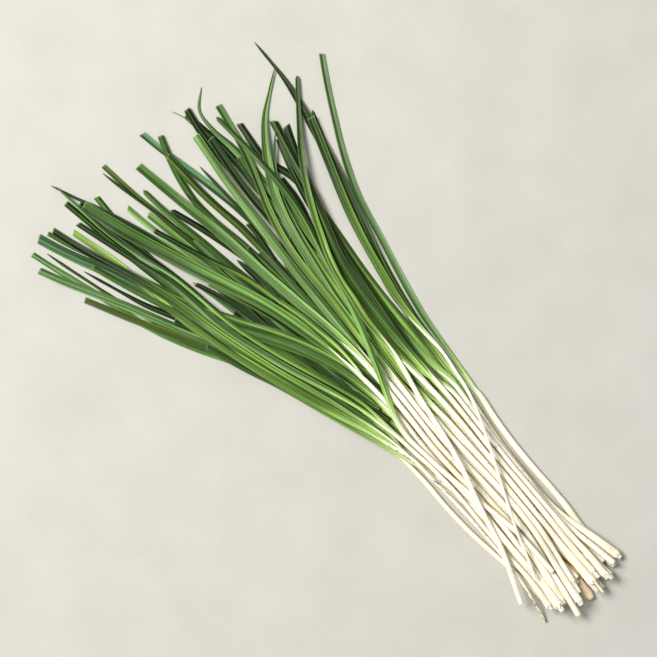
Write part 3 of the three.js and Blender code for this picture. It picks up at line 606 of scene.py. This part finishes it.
def sheath_skin(name, dark, middle, light, mottle, seed):
    """Dry or loose sheath: three tones that run along its fibres, multiplied by a granular
    mottle, with the fibres raised."""
    skin = bpy.data.materials.new(name)
    skin.use_nodes = True
    tree = skin.node_tree
    surface = tree.nodes["Principled BSDF"]
    fibre = tree.nodes.new("ShaderNodeAttribute")
    fibre.attribute_name = "fibre"
    along_fibres = (0.10, 2.2, 1.0), ((0.32, dark), (0.5, middle), (0.68, light))
    granular = (1.1, 1.6, 1.0), ((0.35, mottle), (0.6, (1.0, 1.0, 1.0)))
    tones = []
    for stretch, stops in (along_fibres, granular):
        place = tree.nodes.new("ShaderNodeMapping")
        place.inputs["Location"].default_value = (seed * 5.7 % 71, seed * 3.3 % 37, 0)
        place.inputs["Scale"].default_value = stretch
        tree.links.new(fibre.outputs["Vector"], place.inputs["Vector"])
        speckle = tree.nodes.new("ShaderNodeTexNoise")
        speckle.inputs["Scale"].default_value = 1.0
        speckle.inputs["Detail"].default_value = 4.0
        tree.links.new(place.outputs["Vector"], speckle.inputs["Vector"])
        ramp = tree.nodes.new("ShaderNodeValToRGB")
        while len(ramp.color_ramp.elements) < len(stops):
            ramp.color_ramp.elements.new(0.5)
        for element, (position, colour) in zip(ramp.color_ramp.elements, stops):
            element.position = position
            element.color = (*colour, 1)
        tree.links.new(speckle.outputs["Fac"], ramp.inputs["Fac"])
        tones.append((ramp, speckle))
    both = tree.nodes.new("ShaderNodeMix")
    both.data_type = "RGBA"
    both.blend_type = "MULTIPLY"
    both.inputs[0].default_value = 0.8
    tree.links.new(tones[0][0].outputs["Color"], both.inputs[6])
    tree.links.new(tones[1][0].outputs["Color"], both.inputs[7])
    tree.links.new(both.outputs[2], surface.inputs["Base Color"])
    bump = tree.nodes.new("ShaderNodeBump")
    bump.inputs["Strength"].default_value = 0.5
    bump.inputs["Distance"].default_value = 0.12 * MM
    tree.links.new(tones[0][1].outputs["Fac"], bump.inputs["Height"])
    tree.links.new(bump.outputs[0], surface.inputs["Normal"])
    surface.inputs["Roughness"].default_value = 0.7
    return skin


def husk_rows():
    """The laid husk's cross-sections, a little wider."""
    sections, tail = laid_sections("dry_husk")
    rows = strand_sizes(sections + (tail[0] if tail else []))
    rows[:, 3] *= HUSK_WIDER
    return rows


HUSK_ARCH = 0.42          # height of its curl, against its half width
HUSK_COLOURS = ((0.70, 0.52, 0.28), (0.86, 0.71, 0.46), (0.92, 0.82, 0.62), (0.80, 0.68, 0.54))
husk = torn_strip("dry_husk_strip", husk_rows(), HUSK_ARCH, 5)
husk.data.materials.append(sheath_skin("dry_husk_skin", *HUSK_COLOURS, 5))
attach(husk, "root")
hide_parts("dry_husk")

# ---------------------------------------------------------------------------------------
# The middle shoots
# They lie in the hollows between the lowest ones, and most of their leaves are seen only
# near the tips, where the fan opens.
# ---------------------------------------------------------------------------------------
MIDDLE = {
    "shoot_12": (0.3, 0.3, ("cut", -64, -26, "pale", "dark", 1, 1.1)),
    "shoot_13": (0.3, 0.4, ("cut", -60, -30, "deep", "dark", 1, 1.2)),
    "shoot_14": (0.5, 0.5, ("cut", -60, -34, "mid", "dark", -1, 1.1)),
    "shoot_15": (0.3, 0.5, ("cut", -60, -34, "mid", "olive", 1, 1.1),
                 ("blunt", -60, -30, "deep", "mid", 1, 1.2)),
    "shoot_16": (0.4, 0.5, ("point", -54, -26, "deep", "teal", 1, 1.1),
                 ("cut", -54, -26, "bright", "light", -1, 1),
                 ("blunt", -54, -26, "light", "sage", 1, 1.1)),
    "shoot_17": (0.4, 0.5, ("point", -50, -24, "deep", "dark", -1, 1.2)),
    "shoot_18": (0.3, 0.4, ("cut", -54, -30, "deep", "deep", 1, 1.1),
                 ("cut", -54, -30, "deep", "dark", 1, 1.3)),
    "shoot_19": (0.6, 0.5, ("cut", -60, -34, "deep", "olive", -1, 1),
                 ("cut", -60, -34, "mid", "sage", 1, 1),
                 ("point", -60, -34, "deep", "dark", 1, 1)),
    "shoot_20": (0.3, 0.3, ("cut", -40, -14, "light", "teal", 1, 1.25),
                 ("cut", -40, -14, "bright", "mid", 1, 1)),
    "shoot_21": (0.7, 0.4, ("cut", -70, -40, "bright", "mid", 1, 1),
                 ("cut", -70, -40, "lime", "lime", -1, 1)),
}
grow_layer(MIDDLE, seed=700, step=41)

# ---------------------------------------------------------------------------------------
# The uppermost shoots
# The broad light leaves on top. They are grown like the others and rest on them, and their
# stalks stay white further up than those below.
# ---------------------------------------------------------------------------------------
UPPERMOST = {
    "shoot_22": (0.3, 0.1, ("cut", -54, -28, "lime", "dark", 1, 1)),
    "shoot_23": (0.5, 0.2, ("cut", -50, -24, "mid", "deep", 1, 1)),
    "shoot_24": (0.3, 0.1, ("cut", -34, -20, "lime", "mid", 1, 1)),
    "shoot_25": (0.4, 0.2, ("cut", -50, -30, "lime", "mid", -1, 1)),
    "shoot_26": (0.3, 0.1, ("point", -40, -16, "lime", "mid", -1, 1)),
    "shoot_27": (0.1, 0.0, ("point", -26, -2, "pale", "light", -1, 1)),
    "shoot_28": (0.3, 0.1, ("cut", -20, 6, "pale", "pale", 1, 1),
                 ("cut", -20, 6, "lime", "mid", -1, 1)),
    "shoot_29": (0.2, 0.2, ("cut", -14, 8, "pale", "mid", -1, 1)),
    "shoot_30": (0.3, 0.1, ("cut", -14, 8, "fresh", "mid", -1, 1),
                 ("cut", -10, 14, "bright", "dark", 1, 1)),
    "shoot_31": (0.3, 0.2, ("cut", -50, -10, "pale", "dark", 1, 1),
                 ("point", -50, -20, "bright", "sage", 1, 1.1)),
    "shoot_32": (1.0, 0.2, ("cut", -50, -14, "bright", "mid", 1, 1),
                 ("cut", -50, -20, "bright", "dark", -1, 1.1)),
}
grow_layer(UPPERMOST, seed=1300, step=43)

# ---------------------------------------------------------------------------------------
# The three crossing stalks
# Three fresh shoots that were put down last. They lie loose on top of the row and run across
# it at a slant.
# ---------------------------------------------------------------------------------------
CROSSING = {
    "shoot_33": (0.0, 0.0, ("blunt", -46, -24, "fresh", "mid", 1, 1)),
    "shoot_34": (0.0, 0.0, ("cut", -24, -4, "bright", "deep", -1, 1)),
    "shoot_35": (0.1, 0.0, ("blunt", -26, -4, "lime", "deep", -1, 0.95)),
}
grow_layer(CROSSING, seed=1900, step=47)

# ---------------------------------------------------------------------------------------
# The loose sheaths
# The outermost skin of a stalk dries, yellows and comes away in a narrow strip that slips
# down between the stalks. Laid low in the seams, these strips also paint them: the tan ones
# the warm glow of light through the stalks, and every fifth one, dark brown, their deep
# shade. Others still wrap a stalk part of the way round.
# ---------------------------------------------------------------------------------------


def laid_line(node, leaf=0):
    """The run of middles of one laid shoot, from its cut end to the tip of one of its leaves."""
    stalk, blades = laid_sections(node)
    return strand_sizes(stalk + blades[leaf])[:, :3]


def line_between(sides, share, x, seed, sway):
    """Y at each X, a share of the way from one laid line to another, with a slow sway."""
    one, other = (np.interp(x, line[:, 0], line[:, 1]) for line in sides)
    return one * (1 - share) + other * share + sway * waver(x, seed, 60 * MM)


def face_up(x, y, z, half, deep, slope):
    """One row of strand sizes for each X."""
    return np.stack(np.broadcast_arrays(x, y, z, half, deep, slope), axis=1)


stalk_sides = (laid_line("shoot_10"), laid_line("shoot_02"))
TUCKED = 22
TUCKED_FROM, TUCKED_ACROSS = 0.04, 0.84   # the share of the row's width that they lie in
STAYS_ROUND = 9.0                         # a fork this many metres off never opens
# tan strips that paint the warm glow of light in the seams, and dark brown ones that paint the seams'
# deep shade
TUCKED_TAN_SEAM_GLOW = ((0.46, 0.29, 0.09), (0.80, 0.61, 0.25), (0.88, 0.76, 0.44))
TUCKED_BROWN_SEAM_SHADE = ((0.07, 0.035, 0.012), (0.28, 0.16, 0.055), (0.58, 0.42, 0.18))
TUCKED_MOTTLE = (0.70, 0.55, 0.38)
TUCKED_DEEP = 0.45 * MM
SINKS = 0.35              # each lies lower at its far end, by this share of its height
chance = np.random.default_rng(77)
for number in range(TUCKED):
    share = TUCKED_FROM + TUCKED_ACROSS * (number + 0.5) / TUCKED + chance.uniform(-0.02, 0.02)
    first, last = chance.uniform(-168, -140) * MM, chance.uniform(-84, -52) * MM
    x = np.linspace(first, last, 24)
    y = line_between(stalk_sides, share, x, 300 + number, 0.8 * MM)
    z = chance.uniform(4.4, 6.8) * MM * (1 - SINKS * ease((x - first) / (last - first)))
    rows, along = smooth_through(face_up(x, y, z, chance.uniform(1.1, 1.9) * MM, TUCKED_DEEP,
                                         chance.uniform(-0.3, 0.3)), STATION)
    name = f"tucked_sheath_{number + 1:02d}"
    piece = strand_mesh(name, rows, along, STAYS_ROUND, "blunt", 1, 400 + number, whole=False)
    # every fifth strip is dark brown: painted deep shade in the seams between the stalks
    tones = TUCKED_BROWN_SEAM_SHADE if number % 5 == 2 else TUCKED_TAN_SEAM_GLOW
    piece.data.materials.append(sheath_skin(name + "_skin", *tones, TUCKED_MOTTLE, 50 + number))
    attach(piece, "root")

WRAP_THICKNESS = 0.10 * MM
WRAP_STEP = 0.8           # spacing of the points along a wrap, in millimetres
WRAP_SLANT = 9.0          # how far its upper edge slants up or down, in millimetres
WRAP_NARROWS = 0.35       # it covers this share less of the stalk at its upper edge


def sheath_wrap(name, node, first, last, turn, spread, lift, seed):
    """A skin that still wraps part of a stalk: part of a ring carried along the stalk's own
    line, its radius the stalk's plus a gap that grows towards the cut end, with the square
    of the distance from the upper edge. It narrows upwards, the upper edge is a slant across
    the stalk, and the cut end is torn to a wavering length. The outer and the inner skin are
    a thickness apart."""
    rows, along = smooth_through(strand_sizes(laid_sections(node)[0]), WRAP_STEP * MM)
    a = np.linspace(0, 1, max(int((last - first) / WRAP_STEP), 12))[:, None]
    b = np.linspace(-1, 1, 20)[None, :]
    begins = first + 0.9 * np.sin(b * 9 + seed) + 0.5 * np.sin(b * 23 + seed * 2)
    ends = last + WRAP_SLANT * b * (1 if seed % 2 else -1)
    at = (begins + (ends - begins) * a) * MM
    place = [np.interp(at, along, rows[:, k]) for k in range(5)]
    middle = np.stack(place[:3], axis=-1)
    way = np.stack([np.interp(at, along, np.gradient(rows[:, k], along)) for k in range(3)], axis=-1)
    way /= np.linalg.norm(way, axis=-1, keepdims=True)
    side = level_side(way)
    up = np.cross(way, side)
    narrow = 1 - WRAP_NARROWS * a ** 2
    angle = math.radians(turn) + math.radians(spread / 2) * b * narrow
    gap = (0.10 + lift * (1 - a) ** 2 * (0.4 + 0.6 * np.abs(b)) + 0.10 * np.abs(b) ** 4) * MM

    def ring(more):
        return (middle + side * (np.cos(angle) * (place[3] + gap + more))[..., None]
                + up * (np.sin(angle) * (place[4] + gap + more))[..., None])

    fibre = np.stack([at / MM, angle * place[3] / MM, np.zeros_like(at)], axis=-1)
    return thin_skin(name, ring(WRAP_THICKNESS), ring(0.0), fibre)


# Shoot, how far along it the wrap starts and ends, where its middle is round the stalk, how
# much of the stalk it covers, and how far it lifts at the cut end. Distances are in
# millimetres and angles in degrees
WRAPS = (
    ("shoot_22", 2, 46, 60, 200, 0.5), ("shoot_23", 4, 74, 120, 170, 0.3),
    ("shoot_24", 1, 38, 90, 190, 0.9), ("shoot_25", 6, 88, 70, 150, 0.2),
    ("shoot_26", 2, 54, 110, 180, 0.6), ("shoot_28", 1, 62, 100, 160, 0.4),
    ("shoot_29", 3, 30, 80, 200, 1.0), ("shoot_30", 2, 80, 60, 150, 0.3),
    ("shoot_31", 2, 42, 120, 190, 0.8), ("shoot_17", 2, 36, 70, 180, 0.9),
    ("shoot_19", 1, 60, 90, 190, 0.5), ("shoot_20", 3, 70, 110, 160, 0.4),
    ("shoot_21", 1, 28, 80, 200, 1.1), ("shoot_01", 2, 52, 100, 170, 0.4),
    ("shoot_02", 2, 44, 75, 190, 0.7), ("shoot_14", 2, 40, 95, 180, 0.8),
    ("shoot_18", 1, 66, 90, 160, 0.4),
)
WRAP_COLOURS = ((0.80, 0.66, 0.38), (0.93, 0.90, 0.76), (0.95, 0.94, 0.84), (0.90, 0.84, 0.72))
for number, (node, first, last, turn, spread, lift) in enumerate(WRAPS):
    name = f"{node}_sheath"
    piece = sheath_wrap(name, node, first, last, turn, spread, lift, 11 + number)
    piece.data.materials.append(sheath_skin(name + "_skin", *WRAP_COLOURS, 80 + number))
    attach(piece, "root")

# Torn ends: shoot, how far the strip sticks out past the cut end and how far it runs back
# along the stalk, its place to one side, half width and height over the stalk's middle, all
# in millimetres
TORN_ENDS = (
    ("shoot_15", 5.0, 16, 0.6, 1.1, 2.1), ("shoot_15", 3.6, 12, -1.7, 0.8, 1.6),
    ("shoot_24", 6.5, 14, -0.8, 0.7, 1.7), ("shoot_24", 4.4, 20, 1.5, 1.0, 1.5),
    ("shoot_13", 2.6, 18, 0.9, 1.1, 1.8), ("shoot_22", 1.8, 13, -1.0, 0.9, 1.8),
    ("shoot_04", 3.0, 22, 0.3, 1.3, 1.9), ("shoot_16", 2.2, 17, 1.2, 1.0, 1.9),
    ("shoot_28", 1.6, 24, -0.7, 1.2, 1.8), ("shoot_07", 5.5, 14, -0.4, 1.4, 1.8),
    ("shoot_19", 1.4, 15, 1.1, 0.9, 1.9), ("shoot_21", 2.0, 11, 0.5, 1.0, 1.9),
)
TORN_COLOURS = ((0.74, 0.58, 0.32), (0.88, 0.84, 0.70), (0.90, 0.89, 0.80), (0.86, 0.76, 0.60))
for number, (node, out, back, aside, half, over) in enumerate(TORN_ENDS):
    line = laid_line(node)
    t = np.linspace(0, 1, 9)
    x = line[0, 0] + (-out + (out + back) * t) * MM
    y = np.interp(x, line[:, 0], line[:, 1]) + (aside + 0.5 * np.sin(t * 4 + number)) * MM
    z = np.interp(x, line[:, 0], line[:, 2]) + (over - 0.9 * (1 - t) ** 2 - 0.5 * t ** 3) * MM
    rows = face_up(x, y, z, half * (1 - 0.5 * t ** 2) * MM, 0.1 * MM, 0.0)
    name = f"torn_end_{number + 1:02d}"
    piece = torn_strip(name, rows, 0.5 + 0.3 * math.sin(number), 20 + number)
    piece.data.materials.append(sheath_skin(name + "_skin", *TORN_COLOURS, 160 + number))
    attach(piece, "root")

# ---------------------------------------------------------------------------------------
# The mouths of the sheaths
# Where a leaf leaves its stalk the white sheath ends in a slanted point on top of the green.
# It is a thin skin, one with the stalk at its lower end.
# ---------------------------------------------------------------------------------------
MOUTH_THICKNESS = 0.08 * MM
MOUTH_LEAN = 0.55         # how far to one side its point lies, against the half width
MOUTH_SUNK = 0.5          # how far under the stalk's surface it starts, in millimetres


def sheath_mouth(name, node, before, past, seed):
    """The last of the sheath over the base of the first leaf: a strip that follows the
    strand's own surface. It starts under that surface, comes out of it over its first third
    and stands off by a gap that grows with the square of the way along. It narrows to a
    point that leans to one side: its half width is the strand's times one less the way along
    to the power of one and a half."""
    stalk, blades = laid_sections(node)
    stem = strand_sizes(stalk)
    blade = strand_sizes([stalk[-1]] + blades[0])[1:]
    rows, along = smooth_through(np.concatenate([stem, blade]), STATION)
    fork = np.linalg.norm(np.diff(stem[:, :3], axis=0), axis=1).sum()
    a = np.linspace(0, 1, 40)[:, None]
    b = np.linspace(-1, 1, 16)[None, :]
    at = fork + (-before + (before + past) * a + 0 * b) * MM
    place = [np.interp(at, along, rows[:, k]) for k in range(5)]
    middle = np.stack(place[:3], axis=-1)
    way = np.stack([np.interp(at, along, np.gradient(rows[:, k], along)) for k in range(3)], axis=-1)
    side = level_side(way)
    lean = MOUTH_LEAN if seed % 2 else -MOUTH_LEAN
    wide = np.maximum(place[3], stem[-1, 3] * 0.9)
    u = np.clip(b * (1 - a ** 1.5) + lean * a ** 1.5, -1, 1)
    across = wide * u * 1.02
    deep = np.maximum(place[4], 0.6 * MM)
    gap = (0.62 * ease(a * 3) - MOUTH_SUNK + 0.45 * a ** 2 + 0.25 * np.abs(b) ** 3 * a) * MM
    rise = deep * np.sqrt(np.maximum(1 - u ** 2, 0.03)) + gap
    base = middle + side * across[..., None]
    up = np.array([0, 0, 1.0])
    fibre = np.stack([at / MM, across / MM, np.zeros_like(at)], axis=-1)
    outer = base + up * (rise + MOUTH_THICKNESS)[..., None]
    return thin_skin(name, outer, base + up * rise[..., None], fibre)


# Shoot, and how many millimetres before the fork its mouth starts and past the fork it ends
MOUTHS = (
    ("shoot_20", 24, 26), ("shoot_22", 20, 14), ("shoot_23", 22, 16), ("shoot_24", 18, 22),
    ("shoot_25", 26, 10), ("shoot_26", 20, 24), ("shoot_28", 22, 30), ("shoot_29", 24, 32),
    ("shoot_30", 20, 28), ("shoot_31", 26, 18), ("shoot_32", 20, 16), ("shoot_34", 18, 26),
    ("shoot_35", 22, 28), ("shoot_12", 20, 12), ("shoot_18", 24, 14),
)
MOUTH_COLOURS = ((0.80, 0.80, 0.58), (0.88, 0.88, 0.74), (0.90, 0.90, 0.80), (0.92, 0.92, 0.84))
for number, (node, before, past) in enumerate(MOUTHS):
    name = f"{node}_mouth"
    piece = sheath_mouth(name, node, before, past, number)
    piece.data.materials.append(sheath_skin(name + "_skin", *MOUTH_COLOURS, 120 + number))
    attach(piece, "root")

# ---------------------------------------------------------------------------------------
# The inner leaves
# Each shoot's heart has short dark leaves. They lie under the long ones, at the bottom of
# the fan, held among the stalks, and show in its gaps.
# ---------------------------------------------------------------------------------------
fan_sides = (laid_line("shoot_19"), laid_line("shoot_23"))
INNER_LEAVES = 30
INNER_DEEP = 0.35 * MM
GREEN_ALL_ALONG = (-24.0, -4.0)      # the white ended, and the green was full, before its start
for number in range(INNER_LEAVES):
    share = (number + 0.5) / INNER_LEAVES + chance.uniform(-0.015, 0.015)
    first, last = chance.uniform(-46, -24) * MM, chance.uniform(50, 98) * MM
    x = np.linspace(first, last, 26)
    y = line_between(fan_sides, share, x, 500 + number, 1.6 * MM)
    z = (0.9 + 0.6 * (number % 3) + 1.2 * ease((10 * MM - x) / (50 * MM))) * MM
    half = chance.uniform(1.2, 2.1) * MM * (0.7 + 0.3 * ease((x - first) / (40 * MM)))
    rows, along = smooth_through(face_up(x, y, z, half, INNER_DEEP, chance.uniform(-0.22, 0.22)), STATION)
    tip = "cut" if chance.random() < 0.6 else "point"
    near, far = ("bright", "dark") if number % 4 == 1 else ("deep", "dark")
    name = f"inner_leaf_{number + 1:02d}"
    fold = 1 if number % 2 else -1
    piece = strand_mesh(name, rows, along, 0.0, tip, fold, 600 + 10 * number, whole=False)
    piece.data.materials.append(shoot_skin(
        name + "_skin", *GREEN_ALL_ALONG, near, far, float(along[-1] / MM), 600 + 10 * number, fold))
    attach(piece, "root")

# One stray fibre that has split from a leaf near its tip and bends away
FIBRE_LENGTH, FIBRE_HALF, FIBRE_DEEP, FIBRE_STEP = 15.0, 0.24 * MM, 0.16 * MM, 0.8 * MM
line = laid_line("shoot_04")
t = np.linspace(0, 1, 9)
x = line[-1, 0] + (-9 + FIBRE_LENGTH * t) * MM
y = line[-1, 1] + (0.6 + 3.2 * t ** 2) * MM
z = line[-1, 2] + 0.5 * MM
rows, along = smooth_through(face_up(x, y, z, FIBRE_HALF, FIBRE_DEEP, 0.0), FIBRE_STEP)
fibre_piece = strand_mesh("leaf_fibre", rows, along, 0.0, "cut", 1, 900, whole=False)
fibre_piece.data.materials.append(shoot_skin(
    "leaf_fibre_skin", *GREEN_ALL_ALONG, "pale", "sage", FIBRE_LENGTH, 900))
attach(fibre_piece, "root")

# ---------------------------------------------------------------------------------------
# The table, the light and the camera
# A plain pale surface of fine plaster, soft light from the long leaves' side, and a camera
# straight above. None of them is part of the bunch.
# ---------------------------------------------------------------------------------------
low, high = cad_box
centre = [(a + b) / 2 for a, b in zip(low, high)]
LOOK_AT = (centre[0] + 20.85 * MM, centre[1] + 6.5 * MM)    # the middle of the view
TABLE_HALF = 6.0          # metres from its middle to its edge
corners = [(x, y, low[2]) for x, y in ((-TABLE_HALF, -TABLE_HALF), (TABLE_HALF, -TABLE_HALF),
                                       (TABLE_HALF, TABLE_HALF), (-TABLE_HALF, TABLE_HALF))]
table_mesh = bpy.data.meshes.new("table_top")
table_mesh.from_pydata(corners, [], [(0, 1, 2, 3)])
table = in_scene("table_top", table_mesh)
table_skin = bpy.data.materials.new("table_plaster")
table_skin.use_nodes = True
tree = table_skin.node_tree
surface = tree.nodes["Principled BSDF"]
surface.inputs["Roughness"].default_value = 0.9
surface.inputs["Specular IOR Level"].default_value = 0.15
place = tree.nodes.new("ShaderNodeTexCoord")
grains = []
for scale, detail in ((28.0, 5.0), (420.0, 3.0)):
    grain = tree.nodes.new("ShaderNodeTexNoise")
    grain.inputs["Scale"].default_value = scale
    grain.inputs["Detail"].default_value = detail
    tree.links.new(place.outputs["Object"], grain.inputs["Vector"])
    grains.append(grain)
PLASTER_TONES = ((0.3, (0.462, 0.455, 0.412)), (0.7, (0.500, 0.494, 0.450)))
plaster = tree.nodes.new("ShaderNodeValToRGB")
for element, (position, colour) in zip(plaster.color_ramp.elements, PLASTER_TONES):
    element.position = position
    element.color = (*colour, 1)
tree.links.new(grains[0].outputs["Fac"], plaster.inputs["Fac"])
tree.links.new(plaster.outputs["Color"], surface.inputs["Base Color"])
tooth = tree.nodes.new("ShaderNodeBump")
tooth.inputs["Strength"].default_value = 0.25
tooth.inputs["Distance"].default_value = 0.3 * MM
tree.links.new(grains[1].outputs["Fac"], tooth.inputs["Height"])
tree.links.new(tooth.outputs[0], surface.inputs["Normal"])
table_mesh.materials.append(table_skin)

ROOM_LIGHT = 0.44         # strength of the even light from all round
world = bpy.data.worlds.new("soft_room")
bpy.context.scene.world = world
world.use_nodes = True
world.node_tree.nodes["Background"].inputs["Color"].default_value = (0.95, 0.97, 1.0, 1)
world.node_tree.nodes["Background"].inputs["Strength"].default_value = ROOM_LIGHT


def soft_light(name, place, size, power, colour):
    """A square light at place, turned to face the bunch."""
    lamp = bpy.data.lights.new(name, "AREA")
    lamp.shape = "SQUARE"
    lamp.size = size
    lamp.energy = power
    lamp.color = colour
    holder = in_scene(name, lamp)
    holder.location = place
    to = Vector((*LOOK_AT, 0)) - Vector(place)
    holder.rotation_euler = to.to_track_quat("-Z", "Y").to_euler()


soft_light("window", place=(1.15, 0.42, 1.75), size=0.9, power=66, colour=(1.0, 0.98, 0.945))

camera = bpy.data.cameras.new("camera")
camera.sensor_width = 36
FRAME_WIDTH = 341.6 * MM  # how much of the table the view holds
CAMERA_HEIGHT = 1.25      # metres above the table
CAMERA_TURN = 225         # degrees about Z
camera.lens = camera.sensor_width * CAMERA_HEIGHT / FRAME_WIDTH
camera.clip_start = 0.01
camera.clip_end = 50
holder = in_scene("camera", camera)
holder.location = (LOOK_AT[0], LOOK_AT[1], low[2] + CAMERA_HEIGHT)
holder.rotation_euler = (0, 0, math.radians(CAMERA_TURN))
bpy.context.scene.camera = holder
bpy.context.scene.view_settings.view_transform = "Standard"
